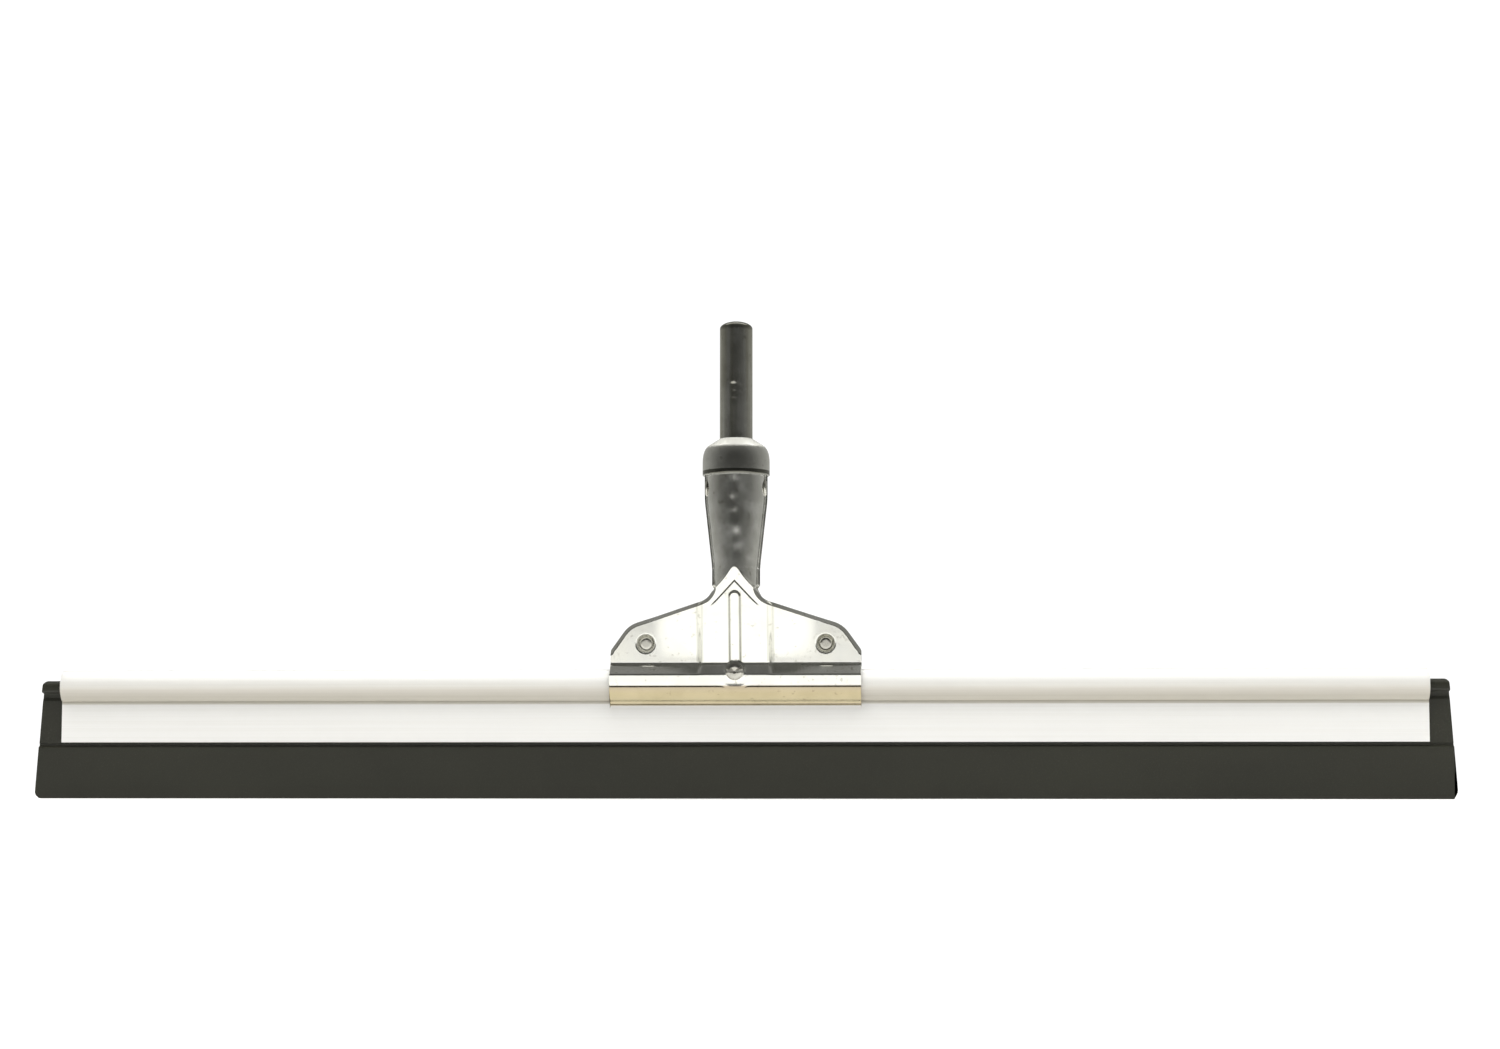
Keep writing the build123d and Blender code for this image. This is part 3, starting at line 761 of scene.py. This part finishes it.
def plain_bar(radius, start, end):
    """Profile of a plain round bar."""
    return [(NEAR_AXIS, start), (radius, start), (radius, end), (NEAR_AXIS, end)]


# the rivets' and the screw's heads sit a little askew, facing slightly down
HEAD_TILT = -0.07


def join_meshes(parts):
    """Points and faces of several meshes as one."""
    points, faces = [], []
    for part_points, part_faces in parts:
        base = len(points)
        points.extend(part_points)
        faces.extend(tuple(base + i for i in face) for face in part_faces)
    return points, faces


def make_pin():
    """Cross pin with a rounded head at each end."""
    reach = PIN_HIGH[0]
    head_height = 1.3
    head_radius = (PIN_HIGH[2] - PIN_LOW[2]) / 2
    parts = [turned(plain_bar(2.0, 1 - reach, reach - 1), (1, 0, 0), (0, 0, PIN_Z), 32)]
    for side in (-1, 1):
        base = (side * (reach - head_height), 0, PIN_Z)
        parts.append(turned(rounded_head(head_radius, head_height, 1.6), (side, 0, 0), base, 48))
    points, faces = join_meshes(parts)
    return new_piece(
        "socket_pin_skin", points, faces, FASTENER, "bracket", "fastener_steel", ("socket_pin",),
    )


def make_rivets():
    """A rivet in each wing, headed at the front and the back."""
    head_radius = (RIVET_HIGH[2] - RIVET_LOW[2]) / 2
    height = RIVET_HIGH[1] - SHEET
    parts = []
    for x in (-RIVET_X, RIVET_X):
        parts.append(turned(plain_bar(1.6, -SHEET, SHEET), (0, 1, 0), (x, 0, RIVET_Z), 32))
        for side in (-1, 1):
            base = (x, side * (SHEET - 0.1), RIVET_Z)
            parts.append(turned(rounded_head(head_radius, height, 1.5), (0, side, HEAD_TILT), base, 48))
    points, faces = join_meshes(parts)
    return new_piece(
        "wing_rivets_skin", points, faces, FASTENER, "bracket", "fastener_steel", ("wing_rivets",),
    )


# ---- clamp screw, washer and nut ----------------------------------------------------------------
def make_screw():
    """Slotted pan head at the front, and a shank whose end shows its thread beyond the nut."""
    radius = (SCREW_HIGH[2] - SCREW_LOW[2]) / 2
    head_base = -(SEAT_FACE + 0.05)
    head_height = head_base - SCREW_LOW[1]
    head_profile = rounded_head(radius, head_height - 0.15, 1.8)
    head = turned(head_profile, (0, -1, HEAD_TILT), (0, head_base, SCREW_Z), 64)
    slot_reach, slot_floor = 0.57, SCREW_LOW[1] + 0.9
    head_points = []
    for p in head[0]:
        q = Vector(p)
        if abs(q.z - SCREW_Z) < slot_reach and q.y < slot_floor:
            q.y = slot_floor
        head_points.append(q)
    shank_end = SCREW_HIGH[1]
    shank_radius, plain_length = 1.95, 20.0
    profile = [(NEAR_AXIS, 0.0), (shank_radius, 0.0), (shank_radius, plain_length)]
    pitch, crest, root = 0.7, 2.0, 1.68
    length = shank_end - head_base
    turns = int((length - plain_length - 0.6) / pitch)
    thread_start = plain_length + 0.1
    for k in range(turns):
        profile += [(root, thread_start + k * pitch), (crest, thread_start + (k + 0.5) * pitch)]
    profile += [(1.5, length - 0.05), (NEAR_AXIS, length)]
    shank = turned(profile, (0, 1, 0), (0, head_base, SCREW_Z), 40)
    points, faces = join_meshes([(head_points, head[1]), shank])
    return new_piece(
        "clamp_screw_skin", points, faces, FASTENER, "clamp_screw", "fastener_steel", ("clamp_screw",),
    )


def make_washer():
    """Flat washer with its outer edges broken."""
    edge, around = 0.15, 64
    radius = (WASHER_HIGH[2] - WASHER_LOW[2]) / 2
    thick = WASHER_HIGH[1] - WASHER_LOW[1]
    profile = [
        (THREAD_HOLE, 0.0), (radius - edge, 0.0), (radius, edge),
        (radius, thick - edge), (radius - edge, thick), (THREAD_HOLE, thick),
    ]
    points, _ = turned(profile, (0, 1, 0), (0, WASHER_LOW[1], SCREW_Z), around)
    return new_piece(
        "clamp_washer_skin", points, loop_faces(len(profile), around), FASTENER, "bracket", "fastener_steel",
        ("clamp_washer",),
    )


def make_nut():
    """Hexagon nut with its corners chamfered on both faces."""
    flats = (NUT_HIGH[2] - NUT_LOW[2]) / 2
    thick = NUT_HIGH[1] - NUT_LOW[1]
    around = 96

    def hexagon(angle):
        """Distance from the axis to the hexagon at an angle."""
        turn = (angle + math.pi / 6) % (math.pi / 3) - math.pi / 6
        return flats / math.cos(turn)

    face_radius, chamfer = flats * 0.97, 0.32
    # a ring with no radius of its own is the hexagon
    rings = [
        (THREAD_HOLE, 0.0), (face_radius, 0.0), (None, chamfer),
        (None, thick - chamfer), (face_radius, thick), (THREAD_HOLE, thick),
    ]
    points = []
    for radius, height in rings:
        for k in range(around):
            angle = 2 * math.pi * k / around
            r = hexagon(angle) if radius is None else radius
            points.append((r * math.sin(angle), NUT_LOW[1] + height, SCREW_Z + r * math.cos(angle)))
    return new_piece(
        "clamp_nut_skin", points, loop_faces(len(rings), around), FASTENER, "bracket", "fastener_steel",
        ("clamp_nut",),
    )


make_blade()
make_channel()
make_pressing("front_shell_skin", True, "front_shell")
make_pressing("rear_shell_skin", False, "rear_shell")
make_stem()
make_ferrule()
make_pin()
make_rivets()
make_screw()
make_washer()
make_nut()


# ---- studio -------------------------------------------------------------------------------------
def make_floor():
    """Pale floor just below the blade, longer in front than behind."""
    half, front, back, low = 1.6, 4.0, 1.2, -0.0005
    mesh = bpy.data.meshes.new("floor")
    corners = [(-half, -front, low), (half, -front, low), (half, back, low), (-half, back, low)]
    mesh.from_pydata(corners, [], [(0, 1, 2, 3)])
    mesh.materials.append(floor_paint())
    floor = bpy.data.objects.new("floor", mesh)
    bpy.context.scene.collection.objects.link(floor)


LAMP_COLOUR = (1.0, 0.99, 0.96)
# name, place, what it is aimed at, size, power, and whether the steel mirrors it
LAMPS = (
    ("key", (-0.6, -0.7, 1.8), (0, 0, 0.05), (1.2, 0.9), 24, False),
    ("fill", (0.7, -0.6, 1.7), (0, 0, 0.05), (1.0, 1.0), 20, False),
    ("back", (0.0, 1.3, 1.5), (0, 0, 0.05), (2.4, 0.8), 16, False),
    ("top", (0.0, 1.1, 2.2), (0, 0, 0.1), (2.6, 0.9), 9, True),
)


def make_lamp(name, place, aim, size, power, mirrored):
    """Soft rectangular lamp."""
    light = bpy.data.lights.new(name, "AREA")
    light.shape = "RECTANGLE"
    light.size, light.size_y = size
    light.energy = power
    light.color = LAMP_COLOUR
    lamp = bpy.data.objects.new(name, light)
    lamp.location = place
    lamp.visible_glossy = mirrored
    lamp.rotation_euler = (Vector(aim) - Vector(place)).to_track_quat("-Z", "Y").to_euler()
    bpy.context.scene.collection.objects.link(lamp)


# greys of the world for light and reflections, from in front of the tool to behind it
WORLD_GREYS = [(0.0, 0.06), (0.25, 0.12), (0.5, 0.23), (0.8, 0.35), (1.0, 0.44)]


def make_world():
    """Pale to the camera, and for light and reflections bright behind the tool and dark in front."""
    world = bpy.data.worlds.new("studio")
    bpy.context.scene.world = world
    world.use_nodes = True
    tree = world.node_tree
    tree.nodes.clear()
    output = tree.nodes.new("ShaderNodeOutputWorld")
    coords = tree.nodes.new("ShaderNodeTexCoord")
    split = tree.nodes.new("ShaderNodeSeparateXYZ")
    tree.links.new(coords.outputs["Generated"], split.inputs["Vector"])
    depth = tree.nodes.new("ShaderNodeMapRange")
    depth.inputs["From Min"].default_value = -1.0
    depth.inputs["From Max"].default_value = 1.0
    tree.links.new(split.outputs["Y"], depth.inputs["Value"])
    ramp = tree.nodes.new("ShaderNodeValToRGB")
    elements = ramp.color_ramp.elements
    while len(elements) < len(WORLD_GREYS):
        elements.new(0.5)
    for element, (position, grey) in zip(elements, WORLD_GREYS):
        element.position = position
        element.color = (grey, grey, grey * 0.95, 1)
    tree.links.new(depth.outputs["Result"], ramp.inputs["Fac"])
    studio = tree.nodes.new("ShaderNodeBackground")
    tree.links.new(ramp.outputs["Color"], studio.inputs["Color"])
    studio.inputs["Strength"].default_value = 1.0
    pale = tree.nodes.new("ShaderNodeBackground")
    pale.inputs["Color"].default_value = (1.0, 1.0, 1.0, 1)
    pale.inputs["Strength"].default_value = 1.1
    path = tree.nodes.new("ShaderNodeLightPath")
    mix = tree.nodes.new("ShaderNodeMixShader")
    tree.links.new(path.outputs["Is Camera Ray"], mix.inputs["Fac"])
    tree.links.new(studio.outputs["Background"], mix.inputs[1])
    tree.links.new(pale.outputs["Background"], mix.inputs[2])
    tree.links.new(mix.outputs["Shader"], output.inputs["Surface"])


def make_camera():
    """The photograph's view: square on, from low down and a few degrees to the right."""
    distance = 1.2
    swing = math.radians(3.5)
    height = 0.012
    aim = Vector((0.0059, 0.0, 0.1159))
    covered = 0.6368            # width seen at the aim's distance
    place = Vector((aim.x + distance * math.sin(swing), -distance * math.cos(swing), height))
    data = bpy.data.cameras.new("camera")
    data.sensor_width = 36.0
    data.lens = data.sensor_width * (aim - place).length / covered
    data.clip_start, data.clip_end = 0.01, 100.0
    camera = bpy.data.objects.new("camera", data)
    camera.location = place
    camera.rotation_euler = (aim - place).to_track_quat("-Z", "Y").to_euler()
    bpy.context.scene.collection.objects.link(camera)
    bpy.context.scene.camera = camera


make_floor()
make_world()
for lamp_settings in LAMPS:
    make_lamp(*lamp_settings)
make_camera()
bpy.context.scene.view_settings.view_transform = "Standard"
